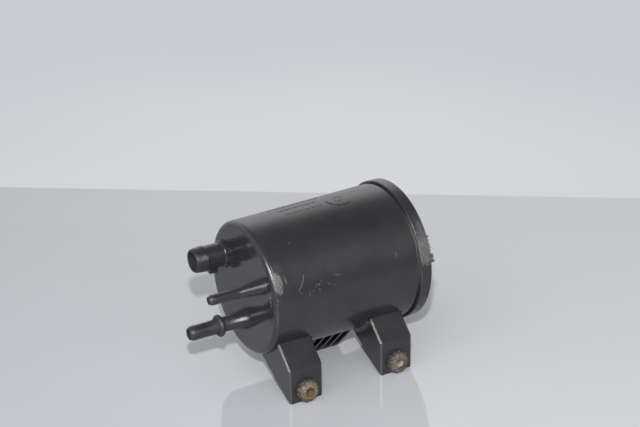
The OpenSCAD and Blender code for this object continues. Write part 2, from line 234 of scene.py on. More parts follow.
# %% [markdown]
# The drum is black glass-filled nylon. New, it is even and satin; here it has been wiped and handled. The
# base is a dark charcoal with slow clouds in it. The front face is smoother than the rest, while the rim,
# where hands hold it, and the ends of the ports, where hoses are pushed on, are duller, and dust on the
# vent port's end takes most of its glint away. A fine moulded grain goes into the bump. The Bevel node
# rounds sharp edges by a hair, as every mould does. Where the drum was knocked, the plastic turns pale
# and dull: a scuffed patch on the front rim, chips at its edge, and scratches on the side, each at its
# own place on the unrolled skin.

# %% The drum's plastic
PLASTIC_DARK = colour(0.026, 0.0244, 0.0267)
PLASTIC_PALE = colour(0.0354, 0.0335, 0.0361)
SCUFF_PALE = colour(0.30, 0.295, 0.29)
# Roughness of the plain plastic, and what the face, the handled rim, worn places and port ends add to it.
PLAIN_ROUGH = (0.18, 0.25)
FACE_ROUGH = -0.09
HANDLED_ROUGH = 0.04
WORN_ROUGH = 0.4
PORT_ROUGH = 0.4
# Strength of the plain plastic's glints, and what dust adds to it.
PLAIN_GLINT = 0.5
DUSTY_GLINT = -0.36
EDGE_ROUND = 0.35 * MM
WAVE_DEPTH = 0.06 * MM
GRAIN_DEPTH = 0.012 * MM
SCUFF_DEPTH = 0.06 * MM
CRUMBLE = 2.4 * MM
# Patches: the middle on the map, and half the size along and around, in mm.
RIM_SCUFF = (on_map(4.3, 25.5), (3.3, 8.2))
RIM_SMEAR = (on_map(6.0, 37.5), (4.2, 5.6))
# Scratches and marks: both ends, as mm behind the face and degrees up from the feet's side, and width.
SCRATCHES = [
    ((22.1, 26.5), (20.8, 22.75), 0.9),
    ((20.8, 22.75), (19.5, 19.05), 1.0),
    ((19.5, 19.05), (17.7, 16.7), 0.8),
    ((17.7, 16.7), (17.0, 14.9), 0.7),
    ((9.3, 30.7), (9.7, 26.4), 0.7),
    ((9.7, 26.4), (9.9, 23.9), 0.8),
    ((20.1, 55.8), (20.5, 55.6), 0.75),
    ((31.0, 16.8), (31.4, 16.3), 1.3),
]
FAINT_MARKS = [
    ((42.6, 20.9), (46.5, 19.8), 1.3),
    ((17.6, 13.0), (19.0, 12.6), 1.2),
    ((24.4, 11.8), (24.2, 9.4), 1.0),
    ((26.6, 12.8), (27.4, 12.0), 1.2),
    ((31.1, 12.9), (31.2, 10.6), 1.3),
    ((32.9, 19.2), (33.3, 17.5), 1.1),
    ((29.6, 17.2), (28.8, 15.2), 1.2),
    ((36.7, 16.7), (39.1, 13.4), 1.2),
    ((41.1, 12.3), (42.7, 13.5), 1.2),
    ((87.6, 24.6), (88.2, 21.0), 2.2),
]
# Chips at the front rim: place behind the face, sideways and upward from the axis, and radius, in mm.
RIM_CHIPS = [
    (0.0, -36.2, 8.7, 1.1),
    (0.0, -36.8, 6.3, 1.4),
    (0.0, -37.3, 4.2, 1.0),
    (2.3, -42.0, 9.0, 0.6),
    (1.4, -42.1, 6.4, 0.7),
    (3.0, -41.8, 6.0, 0.6),
]
# Dull places on the ports, given in the same way.
TANK_END = (-40.5, -3.6, -19.2, 8.0)
TANK_BEAD = (-19.5, -3.6, -19.2, 13.0)
PURGE_END = (-37.7, -28.2, 14.0, 5.5)
VENT_END = (-21.8, 25.6, 14.0, 12.0)


def spot(tree, place, behind_mm, side_mm, up_mm, radius_mm):
    """A mask of a round place about a point on the drum or a port."""
    point = (face_x + behind_mm * MM, axis_y + side_mm * MM, axis_z + up_mm * MM)
    gap = vector_node(tree, "DISTANCE", place, point)
    return mapped(tree, gap, radius_mm * MM, 0.3 * radius_mm * MM)


def plastic_skin(tree, place):
    """Colour, roughness and grain of the plain plastic."""
    slow = clouds(tree, place, 38.0)
    quick = clouds(tree, place, 520.0, 4.0)
    mood = mapped(tree, math_node(tree, "MULTIPLY_ADD", quick, 0.15, slow), 0.35, 0.8)
    shade = blended(tree, mood, PLASTIC_DARK, PLASTIC_PALE)
    rough = mapped(tree, clouds(tree, place, 150.0, 4.0), 0.3, 0.7, *PLAIN_ROUGH)
    parts = add_node(tree, "ShaderNodeSeparateXYZ", {0: place}).outputs
    behind = math_node(tree, "SUBTRACT", parts["X"], face_x)
    on_face = mapped(tree, math_node(tree, "ABSOLUTE", behind), 0.4 * MM, 0.15 * MM)
    rough = math_node(tree, "MULTIPLY_ADD", on_face, FACE_ROUGH, rough)
    rim_start = DRUM_FRONT_R - RIM_ROUND
    at_rim = mapped(tree, from_axis(tree, place), rim_start, rim_start + 0.3 * RIM_ROUND)
    handled = math_node(tree, "MULTIPLY", at_rim, mapped(tree, behind, 1.6 * RIM_ROUND, 0.9 * RIM_ROUND))
    rough = math_node(tree, "MULTIPLY_ADD", handled, HANDLED_ROUGH, rough)
    edge = add_node(tree, "ShaderNodeBevel", {"Radius": EDGE_ROUND}, samples=6).outputs["Normal"]
    waves = bumped(tree, clouds(tree, place, 70.0, 1.0), WAVE_DEPTH, edge)
    grain = bumped(tree, clouds(tree, place, 2600.0, 2.0), GRAIN_DEPTH, waves)
    return shade, rough, grain


def speckled(tree, mask, speckle, spread, least):
    """A mask broken up by fine speckle, from a least strength upwards."""
    return math_node(tree, "MULTIPLY", mask, math_node(tree, "MULTIPLY_ADD", speckle, spread, least))


def body_finish():
    """The drum's plastic with its scuffs and scratches."""
    finish, tree, shader, place = new_finish("moulded_charcoal_plastic")
    shade, rough, grain = plastic_skin(tree, place)
    skin = wandering(tree, place, unrolled(tree, place))
    stretched = vector_node(tree, "MULTIPLY", skin, (2.4, 0.3, 1.0))
    streaks = clouds(tree, stretched, 1.1, 4.0, 0.65)
    speckle = mapped(tree, clouds(tree, place, 1400.0, 3.0), 0.35, 0.65)
    torn = mapped(tree, streaks, 0.36, 0.7, 0.12, 0.8)
    scuffed = patch(tree, skin, *RIM_SCUFF)
    uneven = math_node(tree, "SUBTRACT", streaks, 0.5)
    ragged = math_node(tree, "MULTIPLY_ADD", uneven, 2.2, scuffed)
    torn_here = math_node(tree, "MULTIPLY", torn, mapped(tree, scuffed, 0.0, 0.15))
    rim = math_node(tree, "MULTIPLY", mapped(tree, ragged, 0.3, 0.75), torn_here)
    faded = math_node(tree, "MULTIPLY", torn, 0.12)
    smear = math_node(tree, "MULTIPLY", patch(tree, skin, *RIM_SMEAR, 0.1), faded)
    start = vector_node(tree, "SUBTRACT", place, (CRUMBLE / 2,) * 3)
    shaken = vector_node(tree, "MULTIPLY_ADD", noise_vector(tree, place, 900.0), (CRUMBLE,) * 3, start)
    chips = most(tree, [spot(tree, shaken, *chip) for chip in RIM_CHIPS])
    chips = speckled(tree, chips, speckle, 0.35, 0.22)
    deep = speckled(tree, strokes(tree, skin, SCRATCHES), speckle, 0.35, 0.17)
    faint = speckled(tree, strokes(tree, skin, FAINT_MARKS), speckle, 0.2, 0.03)
    wear = most(tree, [math_node(tree, "MULTIPLY", rim, 0.75), smear, deep, faint, chips])
    tree.links.new(blended(tree, wear, shade, SCUFF_PALE), shader.inputs["Base Color"])
    rubbed = most(tree, [spot(tree, place, *end) for end in (TANK_END, TANK_BEAD, PURGE_END, VENT_END)])
    rough = math_node(tree, "MULTIPLY_ADD", rubbed, PORT_ROUGH, rough)
    glint = math_node(tree, "MULTIPLY_ADD", spot(tree, place, *VENT_END), DUSTY_GLINT, PLAIN_GLINT)
    tree.links.new(glint, shader.inputs["Specular IOR Level"])
    rough = math_node(tree, "MULTIPLY_ADD", wear, WORN_ROUGH, rough)
    tree.links.new(rough, shader.inputs["Roughness"])
    tree.links.new(bumped(tree, wear, SCUFF_DEPTH, grain), shader.inputs["Normal"])
    return finish


body_plastic = body_finish()
solids["canister_body"].material_slots[0].material = body_plastic
print("drum finish:", len(body_plastic.node_tree.nodes), "nodes")

# %% [markdown]
# The cap is a second moulding of the same plastic. A stretch of the groove before its rim, on the side
# towards the feet, is painted paler: painted light that stands in for light reaching into the groove. On
# the side towards the feet the rim was dragged over something hard: it is ground grey over its whole
# width, with fine lines along the drag. The lower end of the patch is ragged, and its upper end fades out.

# %% The cap's plastic
GROUND_GREY = colour(0.163, 0.160, 0.157)
GROUND_DARK = colour(0.066, 0.064, 0.063)
GROOVE_PAINTED_LIGHT = colour(0.075, 0.072, 0.074)
GROUND_PATCH = (on_map(108.2, 20.5), (7.6, 12.6))
GROUND_FADE = (on_map(109.0, 36.0), (5.0, 13.0))
GROUND_LINES = [
    ((105.5, 36.2), (103.6, 18.2), 0.7),
    ((103.6, 18.2), (104.1, 10.3), 0.6),
]
# Where the groove ends behind the front face, and the stretch round the drum where the groove has painted
# light, in mm on the map.
GROOVE_END = 104.5
LIT_GROOVE_MIDDLE = 17.0
LIT_GROOVE_REACH = (30.0, 14.0)
TORN_DEPTH = 0.25 * MM


def cap_finish():
    """The cap's plastic with the ground patch on its rim and painted light in its groove."""
    finish, tree, shader, place = new_finish("cap_charcoal_plastic")
    shade, rough, grain = plastic_skin(tree, place)
    flat = unrolled(tree, place)
    skin = wandering(tree, place, flat)
    dragged = vector_node(tree, "MULTIPLY", skin, (1.6, 0.3, 1.0))
    lines = clouds(tree, dragged, 1.1, 5.0, 0.7)
    crumbs = clouds(tree, place, 900.0, 4.0, 0.65)
    ragged = math_node(tree, "MULTIPLY_ADD", crumbs, 0.9, math_node(tree, "SUBTRACT", lines, 0.95))
    worn = math_node(tree, "ADD", patch(tree, skin, *GROUND_PATCH, 0.4), ragged)
    worn = mapped(tree, worn, 0.28, 0.82)
    fading = mapped(tree, lines, 0.3, 0.7, 0.05, 0.4)
    rubbed = math_node(tree, "MULTIPLY", patch(tree, skin, *GROUND_FADE, 0.0), fading)
    worn = math_node(tree, "MAXIMUM", worn, rubbed)
    on_rim = mapped(tree, from_axis(tree, place), cap_r - 2.2 * MM, cap_r - 1.2 * MM)
    worn = math_node(tree, "MULTIPLY", worn, on_rim)
    drag_lines = math_node(tree, "MULTIPLY", strokes(tree, skin, GROUND_LINES), 0.45)
    wear = math_node(tree, "MAXIMUM", worn, drag_lines)
    ground = blended(tree, mapped(tree, lines, 0.35, 0.65), GROUND_DARK, GROUND_GREY)
    flat_parts = add_node(tree, "ShaderNodeSeparateXYZ", {0: flat}).outputs
    # Painted light: a stretch of the groove on the feet's side is painted paler, standing in for light
    # reaching into it.
    in_groove = mapped(tree, flat_parts["X"], GROOVE_END, GROOVE_END - 0.3)
    around = math_node(tree, "SUBTRACT", flat_parts["Y"], LIT_GROOVE_MIDDLE)
    facing = mapped(tree, math_node(tree, "ABSOLUTE", around), *LIT_GROOVE_REACH)
    shade = blended(tree, math_node(tree, "MULTIPLY", in_groove, facing), shade, GROOVE_PAINTED_LIGHT)
    tree.links.new(blended(tree, wear, shade, ground), shader.inputs["Base Color"])
    tree.links.new(math_node(tree, "MULTIPLY_ADD", wear, WORN_ROUGH, rough), shader.inputs["Roughness"])
    torn = math_node(tree, "MULTIPLY", wear, math_node(tree, "ADD", lines, crumbs))
    tree.links.new(bumped(tree, torn, TORN_DEPTH, grain), shader.inputs["Normal"])
    return finish


cap_plastic = cap_finish()
solids["end_cap"].material_slots[0].material = cap_plastic
print("cap finish:", len(cap_plastic.node_tree.nodes), "nodes")

# %% [markdown]
# The pieces inside never show while the cap is on, but each still gets the finish of what it is: pale
# felt with fibres, black granules, grey moulded retainers and drawn spring wire.

# %% Finishes of the inner pieces
def felt_finish():
    """Non-woven filter felt: pale, soft and fibrous."""
    finish, tree, shader, place = new_finish("filter_felt")
    combed = vector_node(tree, "MULTIPLY", place, (1.0, 0.25, 1.0))
    fibres = clouds(tree, combed, 1800.0, 5.0, 0.7)
    shade = blended(tree, fibres, colour(0.52, 0.49, 0.42), colour(0.74, 0.71, 0.64))
    tree.links.new(shade, shader.inputs["Base Color"])
    shader.inputs["Roughness"].default_value = 0.95
    shader.inputs["Sheen Weight"].default_value = 0.3
    tree.links.new(bumped(tree, fibres, 0.3 * MM), shader.inputs["Normal"])
    return finish


def granule_finish():
    """A bed of carbon granules: black cells of about 2 mm with a dull glint."""
    finish, tree, shader, place = new_finish("carbon_granules")
    cells = add_node(tree, "ShaderNodeTexVoronoi", {"Vector": place, "Scale": 480.0})
    tone = add_node(tree, "ShaderNodeSeparateColor", {0: cells.outputs["Color"]}).outputs[0]
    tree.links.new(blended(tree, tone, colour(0.006, 0.006, 0.006), colour(0.022, 0.021, 0.020)),
                   shader.inputs["Base Color"])
    tree.links.new(mapped(tree, tone, 0.0, 1.0, 0.55, 0.9), shader.inputs["Roughness"])
    lumps = math_node(tree, "SUBTRACT", 1.0, cells.outputs["Distance"])
    tree.links.new(bumped(tree, lumps, 1.0 * MM), shader.inputs["Normal"])
    return finish


def retainer_finish():
    """Grey unfilled moulding plastic with a faint flow pattern."""
    finish, tree, shader, place = new_finish("retainer_grey_plastic")
    flow = clouds(tree, vector_node(tree, "MULTIPLY", place, (1.0, 1.0, 0.3)), 160.0, 4.0)
    tree.links.new(blended(tree, flow, colour(0.062, 0.062, 0.065), colour(0.092, 0.092, 0.096)),
                   shader.inputs["Base Color"])
    tree.links.new(mapped(tree, flow, 0.3, 0.7, 0.42, 0.55), shader.inputs["Roughness"])
    tree.links.new(bumped(tree, clouds(tree, place, 2200.0), 0.02 * MM), shader.inputs["Normal"])
    return finish


def wire_finish():
    """Drawn spring steel: bright and finely grained, with spots of tarnish."""
    finish, tree, shader, place = new_finish("drawn_spring_steel")
    tarnish = mapped(tree, clouds(tree, place, 260.0, 5.0), 0.5, 0.72)
    tree.links.new(blended(tree, tarnish, colour(0.40, 0.41, 0.42), colour(0.20, 0.17, 0.14)),
                   shader.inputs["Base Color"])
    shader.inputs["Metallic"].default_value = 1.0
    tree.links.new(mapped(tree, tarnish, 0.0, 1.0, 0.28, 0.55), shader.inputs["Roughness"])
    tree.links.new(bumped(tree, clouds(tree, place, 3500.0), 0.02 * MM), shader.inputs["Normal"])
    return finish


inner_finishes = {"pad": felt_finish(), "carbon": granule_finish(), "retainer": retainer_finish(),
                  "spring": wire_finish()}
for node_name, solid in solids.items():
    kind = node_name.split("_")[-1]
    if kind in inner_finishes:
        solid.material_slots[0].material = inner_finishes[kind]
        print(node_name, "gets", inner_finishes[kind].name)

# %% [markdown]
# New pieces are modelled as by hand: a primitive at its place, shaped in edit mode, finished with
# modifiers. Operators act on whatever is selected, so every piece starts by deselecting all. These
# helpers start a piece, pick its corners by a test, apply its modifiers, and give it its finish and let
# it ride on the part.

# %% Helpers for modelling
def clear_selection():
    """Leaves object mode with nothing selected."""
    if bpy.context.mode != "OBJECT":
        bpy.ops.object.mode_set(mode="OBJECT")
    bpy.ops.object.select_all(action="DESELECT")


def settle(name):
    """Names the primitive just added and puts its place into its mesh."""
    piece = bpy.context.active_object
    piece.name = name
    piece.data.name = name
    bpy.ops.object.transform_apply(location=True, rotation=True, scale=True)
    return piece


def pick_corners(piece, test):
    """In edit mode, selects the corners whose place passes a test."""
    bpy.ops.mesh.select_mode(type="VERT")
    bpy.ops.mesh.select_all(action="DESELECT")
    shape = bmesh.from_edit_mesh(piece.data)
    for corner in shape.verts:
        if test(corner.co):
            corner.select_set(True)
    shape.select_flush_mode()
    bmesh.update_edit_mesh(piece.data)


def apply_modifier(piece, kind, **settings):
    """Adds a modifier to a piece and applies it at once."""
    bpy.context.view_layer.objects.active = piece
    made = piece.modifiers.new(kind.lower(), kind)
    for option, value in settings.items():
        setattr(made, option, value)
    bpy.ops.object.modifier_apply(modifier=made.name)


def tidy_mesh(piece):
    """Merges doubled corners and turns every face outwards."""
    bpy.context.view_layer.objects.active = piece
    bpy.ops.object.mode_set(mode="EDIT")
    bpy.ops.mesh.select_all(action="SELECT")
    bpy.ops.mesh.remove_doubles(threshold=0.004 * MM)
    bpy.ops.mesh.normals_make_consistent(inside=False)
    bpy.ops.object.mode_set(mode="OBJECT")


def hand_over(piece, finish, smooth_degrees=35):
    """Gives a piece its finish, smooths its shading and lets it ride on the part."""
    clear_selection()
    piece.select_set(True)
    bpy.context.view_layer.objects.active = piece
    piece.data.materials.clear()
    piece.data.materials.append(finish)
    bpy.ops.object.shade_smooth_by_angle(angle=math.radians(smooth_degrees))
    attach(piece, "root")
    print(piece.name, "has", len(piece.data.polygons), "faces")


print("helpers for modelling ready")

# %% [markdown]
# Each foot holds a toothed brass insert, pressed in warm and now corroded. Its solid has a plain hole, so
# here it is modelled again with its thread. The section is drawn like a lathe's: a circle at the hole's
# mouth is extruded outwards over the face, back along the teeth, in to the shank, back again and through
# the hole. The teeth come from scaling the corners that lie in a notch. A clouds texture then roughens
# the skin, because corrosion has eaten every edge. Each insert has its own finish: a grimy tan face,
# greyer teeth, a green and a rusty corner, a painted shadow ring at the hole's edge, and a thread that is
# tan in the front foot and painted pale in the rear one, a painted highlight of the lamp on it.

# %% The toothed inserts
TEETH = 12
STEPS = 16
HEAD_R = 7.5 * MM
NOTCH_R = 1.1 * MM
SHANK_R = 4.8 * MM
THREAD_ROOT_R = 3.0 * MM
SINK_R = 2.75 * MM
SINK_DEPTH = 0.5 * MM
SHANK_LEN = 5 * MM
FACE_RINGS = [(4.2 * MM, 0), (5.6 * MM, 0.25 * MM), (6.5 * MM, 0.8 * MM), (HEAD_R, 1.5 * MM)]
TOOTH_RINGS = 3
CHAMFER = 0.28 * MM
CRUST_SIZE = 1.3 * MM
CRUST_DEPTH = 0.42 * MM
CRUST_LEVEL = 0.62
THREAD_PITCH = 1.0 * MM
RIDGE_R = 0.5 * MM
RIDGE_START = 0.9 * MM
RIDGE_MARGIN = 1.6 * MM
INSERT_UP = 7.8 * MM
GREEN_CRUST = colour(0.155, 0.155, 0.085)
RUST = colour(0.10, 0.052, 0.026)
# Dark of the corrosion pits, and of the painted shadow at the hole's edge.
PIT_AND_SHADOW_DARK = colour(0.035, 0.028, 0.022)
FRONT_LOOK = {
    "face_tone": colour(0.295, 0.24, 0.147),
    "grime_tone": colour(0.165, 0.131, 0.09),
    "tooth_tone": colour(0.10, 0.089, 0.09),
    "rust_from": (-0.4, 0.0, -0.6),
    "green_from": (0.85, 0.0, 0.5),
}
REAR_LOOK = {
    "face_tone": colour(0.24, 0.21, 0.145),
    "grime_tone": colour(0.118, 0.099, 0.073),
    "tooth_tone": colour(0.075, 0.071, 0.073),
    "rust_from": (0.8, 0.0, -0.6),
    "green_from": (-0.95, 0.0, -0.1),
}


def grow_ring(centre, back, radius_ratio):
    """Extrudes the selected ring of edges, moves it back and scales it about the insert's axis."""
    bpy.ops.mesh.extrude_edges_move()
    bpy.ops.transform.translate(value=(0, back, 0))
    bpy.ops.transform.resize(value=(radius_ratio, 1, radius_ratio), center_override=centre)


def cut_notches(piece, centre):
    """Scales in the corners of the head's rim that lie in the rounded notches between the teeth."""
    step = 2 * math.pi / (TEETH * STEPS)
    for offset in range(STEPS // 2):
        turn = offset * step
        if HEAD_R * math.sin(turn) >= NOTCH_R:
            break
        depth = math.sqrt(NOTCH_R ** 2 - (HEAD_R * math.sin(turn)) ** 2)
        ratio = (HEAD_R * math.cos(turn) - depth) / HEAD_R

        def in_notch(co):
            flat = Vector((co.x - centre.x, co.z - centre.z))
            place = round(math.atan2(flat.y, flat.x) / step) % STEPS
            return flat.length > 0.97 * HEAD_R and place in (offset, (STEPS - offset) % STEPS)

        pick_corners(piece, in_notch)
        bpy.ops.transform.resize(value=(ratio, 1, ratio), center_override=centre)


def toothed_insert(name, node, finish):
    """A toothed insert with an open hole at the thread's root, standing for the solid of that node."""
    low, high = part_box(node)
    proud = (high.y - low.y) - SHANK_LEN
    centre = Vector(((low.x + high.x) / 2, low.y, (low.z + high.z) / 2))
    clear_selection()
    bpy.ops.mesh.primitive_circle_add(vertices=TEETH * STEPS, radius=SINK_R, location=centre,
                                      rotation=(math.radians(90), 0, 0))
    piece = settle(name)
    bpy.ops.object.mode_set(mode="EDIT")
    bpy.ops.mesh.select_all(action="SELECT")
    radius = SINK_R
    depth = 0
    for ring_r, ring_depth in FACE_RINGS:
        grow_ring(centre, ring_depth - depth, ring_r / radius)
        radius = ring_r
        depth = ring_depth
    for _ in range(TOOTH_RINGS):
        grow_ring(centre, (proud - depth) / TOOTH_RINGS, 1)
    grow_ring(centre, 0, SHANK_R / HEAD_R)
    grow_ring(centre, SHANK_LEN, 1)
    grow_ring(centre, 0, THREAD_ROOT_R / SHANK_R)
    grow_ring(centre, -(proud + SHANK_LEN - SINK_DEPTH), 1)
    grow_ring(centre, -SINK_DEPTH, SINK_R / THREAD_ROOT_R)
    cut_notches(piece, centre)
    tidy_mesh(piece)
    apply_modifier(piece, "BEVEL", width=CHAMFER, segments=2, angle_limit=math.radians(40))
    apply_modifier(piece, "SUBSURF", subdivision_type="SIMPLE", levels=1, render_levels=1)
    crust = bpy.data.textures.new(name + "_crust", "CLOUDS")
    crust.noise_scale = CRUST_SIZE
    apply_modifier(piece, "DISPLACE", texture=crust, strength=CRUST_DEPTH, mid_level=CRUST_LEVEL)
    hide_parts(node)
    hand_over(piece, finish, 50)
    return centre, proud


def thread_turns(name, centre, proud, finish):
    """The thread's ridge: a triangle wound along the hole by the Screw modifier, closed at both ends."""
    clear_selection()
    bpy.ops.mesh.primitive_circle_add(vertices=3, radius=RIDGE_R, fill_type="NOTHING",
                                      location=(THREAD_ROOT_R, 0, 0))
    piece = settle(name)
    bpy.ops.object.mode_set(mode="EDIT")
    bpy.ops.mesh.select_all(action="SELECT")
    bpy.ops.transform.rotate(value=math.radians(90), orient_axis="Z",
                             center_override=(THREAD_ROOT_R, 0, 0))
    bpy.ops.object.mode_set(mode="OBJECT")
    turns = (proud + SHANK_LEN - RIDGE_MARGIN) / THREAD_PITCH
    apply_modifier(piece, "SCREW", axis="Y", angle=2 * math.pi, screw_offset=THREAD_PITCH,
                   iterations=int(turns), steps=40, render_steps=40)
    bpy.ops.object.mode_set(mode="EDIT")
    bpy.ops.mesh.select_mode(type="EDGE")
    bpy.ops.mesh.select_all(action="DESELECT")
    bpy.ops.mesh.select_non_manifold(extend=False)
    bpy.ops.mesh.edge_face_add()
    bpy.ops.mesh.select_all(action="SELECT")
    bpy.ops.transform.translate(value=centre + Vector((0, RIDGE_START, 0)))
    tidy_mesh(piece)
    hand_over(piece, finish, 60)


def brass_finish(name, centre_x, face_tone, grime_tone, tooth_tone, rust_from, green_from):
    """Corroded brass: a grimy tan face with a green side, greyer teeth, rust round the hole, and a painted
    shadow ring at its edge.
    """
    finish, tree, shader, place = new_finish(name)
    away = vector_node(tree, "SUBTRACT", place, (centre_x, 0.0, INSERT_UP))
    away = vector_node(tree, "MULTIPLY", away, (1 / MM, 0.0, 1 / MM))
    radius = vector_node(tree, "LENGTH", away)
    blotch = clouds(tree, place, 520.0, 5.0, 0.6)
    grit = clouds(tree, place, 2300.0, 4.0, 0.65)
    outer = mapped(tree, math_node(tree, "MULTIPLY_ADD", blotch, 5.0, radius), 7.6, 9.8)
    dirt = mapped(tree, clouds(tree, place, 950.0, 4.0, 0.6), 0.42, 0.62)
    face = blended(tree, dirt, face_tone, grime_tone)
    green_side = vector_node(tree, "DOT_PRODUCT", away, green_from)
    green = mapped(tree, math_node(tree, "MULTIPLY_ADD", blotch, 4.0, green_side), 4.6, 6.6)
    face = blended(tree, math_node(tree, "MULTIPLY", green, 0.8), face, GREEN_CRUST)
    shade = blended(tree, outer, face, tooth_tone)
    near_hole = mapped(tree, math_node(tree, "MULTIPLY_ADD", grit, 0.8, radius), 3.6, 3.1)
    low_side = vector_node(tree, "DOT_PRODUCT", away, rust_from)
    stain = mapped(tree, math_node(tree, "MULTIPLY_ADD", blotch, 9.0, low_side), 5.2, 9.0)
    rust = math_node(tree, "MAXIMUM", near_hole, math_node(tree, "MULTIPLY", stain, 0.8))
    shade = blended(tree, rust, shade, RUST)
    # Painted shadow: a dark ring just outside the hole's mouth stands in for the shadow of the hole's
    # edge.
    hole_edge_shadow = mapped(tree, math_node(tree, "MULTIPLY_ADD", grit, 0.5, radius), 3.5, 3.2)
    pits = math_node(tree, "MULTIPLY", mapped(tree, clouds(tree, place, 800.0, 3.0), 0.5, 0.38), 0.75)
    dark = math_node(tree, "MAXIMUM", pits, math_node(tree, "MULTIPLY", hole_edge_shadow, 0.7))
    shade = blended(tree, dark, shade, PIT_AND_SHADOW_DARK)
    tree.links.new(shade, shader.inputs["Base Color"])
    tree.links.new(mapped(tree, blotch, 0.4, 0.75, 0.05, 0.45), shader.inputs["Metallic"])
    tree.links.new(mapped(tree, grit, 0.3, 0.7, 0.45, 0.75), shader.inputs["Roughness"])
    tree.links.new(bumped(tree, grit, 0.12 * MM), shader.inputs["Normal"])
    return finish


def thread_finish(name, crest_tone, root_tone):
    """Thread in a crest tone and a root tone mixed in patches; the rear thread's pale crest tone is a
    painted highlight.
    """
    finish, tree, shader, place = new_finish(name)
    grit = clouds(tree, place, 1700.0, 4.0)
    dirt = mapped(tree, grit, 0.45, 0.7)
    tree.links.new(blended(tree, dirt, crest_tone, root_tone), shader.inputs["Base Color"])
    shader.inputs["Metallic"].default_value = 0.3
    tree.links.new(mapped(tree, grit, 0.3, 0.7, 0.3, 0.6), shader.inputs["Roughness"])
    return finish


front_x = sum(c.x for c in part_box("front_insert")) / 2
rear_x = sum(c.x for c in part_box("rear_insert")) / 2
front_brass = brass_finish("front_insert_brass", front_x, **FRONT_LOOK)
rear_brass = brass_finish("rear_insert_brass", rear_x, **REAR_LOOK)
front_thread = thread_finish("tan_brass_thread", colour(0.36, 0.255, 0.175), colour(0.16, 0.10, 0.06))
# Painted highlight: the rear thread's pale crest tone stands in for lamp light falling on the thread
# inside the hole.
rear_thread = thread_finish("brass_thread_painted_highlight", colour(0.78, 0.72, 0.64), colour(0.34, 0.28, 0.20))
for side, metal, thread in (("front", front_brass, front_thread), ("rear", rear_brass, rear_thread)):
    hole, head = toothed_insert(side + "_toothed_insert", side + "_insert", metal)
    thread_turns(side + "_insert_thread", hole, head, thread)

# %% [markdown]
# On top of the drum the mould left low relief: a round dating mark, and rows of marks beside it. The
# round mark is a raised disc with a ring on it, and the rows are plain bars here. Each starts as a flat
# outline hung above the drum. Shrinkwrap lays it on the skin, Solidify thickens it until it stands out by
# a few tenths of a millimetre, and a bevel softens it as the mould would.

# %% Relief on the drum's top
RELIEF_H = 0.26 * MM
RELIEF_SINK = 0.2 * MM
HANG_Z = axis_z + cap_r + 4 * MM
DISC_PLACE = (70.6, 90.6)
DISC_R = 8.8 * MM
DISC_STEPS = (0.85, 0.8, 0.75, 0.65, 0.5, 0.3)
DISC_SOFT = 0.12 * MM
HUB_R = 3.2 * MM
HUB_RATIO = 0.75
HUB_H = 1.6 * RELIEF_H
HUB_SOFT = 0.08 * MM
BAR_H = 0.6 * RELIEF_H
BAR_SOFT = 0.1 * MM
BAR_WIDTH_MM = 2.2
BAR_RUNS_MM = (2.2, 4.6)
BAR_GAPS_MM = (1.0, 1.7)
# Rows of bars: degrees up from the feet's side, and the row's start and end behind the face, in mm.
BAR_ROWS = [(107.5, 26.0, 61.0), (98.0, 30.0, 57.0), (89.0, 32.0, 56.0)]


def above_skin(behind_mm, degrees):
    """A point above the drum's top, straight over a place on its skin."""
    radius = skin_radius(behind_mm * MM)
    side = radius * math.cos(math.radians(degrees))
    return Vector((face_x + behind_mm * MM, axis_y - side, HANG_Z))


def lay_on_skin(piece, width, height=RELIEF_H):
    """Lays a flat outline on the drum, thickens it and softens its edges."""
    apply_modifier(piece, "SHRINKWRAP", target=solids["canister_body"], wrap_method="PROJECT",
                   use_project_z=True, use_negative_direction=True, use_positive_direction=False)
    apply_modifier(piece, "SOLIDIFY", thickness=height + RELIEF_SINK,
                   offset=(height - RELIEF_SINK) / (height + RELIEF_SINK))
    apply_modifier(piece, "BEVEL", width=width, segments=2, angle_limit=math.radians(50))
    tidy_mesh(piece)


def dating_disc():
    """A round dating mark: a raised disc, and a raised ring at its middle."""
    centre = above_skin(*DISC_PLACE)
    clear_selection()
    bpy.ops.mesh.primitive_circle_add(vertices=96, radius=DISC_R, location=centre)
    disc = settle("dating_disc")
    bpy.ops.object.mode_set(mode="EDIT")
    bpy.ops.mesh.select_all(action="SELECT")
    for ratio in DISC_STEPS:
        bpy.ops.mesh.extrude_edges_move()
        bpy.ops.transform.resize(value=(ratio, ratio, 1), center_override=centre)
    bpy.ops.mesh.edge_face_add()
    bpy.ops.object.mode_set(mode="OBJECT")
    lay_on_skin(disc, DISC_SOFT)
    hand_over(disc, body_plastic)
    clear_selection()
    bpy.ops.mesh.primitive_circle_add(vertices=48, radius=HUB_R, location=centre)
    hub = settle("dating_hub")
    bpy.ops.object.mode_set(mode="EDIT")
    bpy.ops.mesh.select_all(action="SELECT")
    bpy.ops.mesh.extrude_edges_move()
    bpy.ops.transform.resize(value=(HUB_RATIO, HUB_RATIO, 1), center_override=centre)
    bpy.ops.object.mode_set(mode="OBJECT")
    lay_on_skin(hub, HUB_SOFT, HUB_H)
    hand_over(hub, body_plastic)


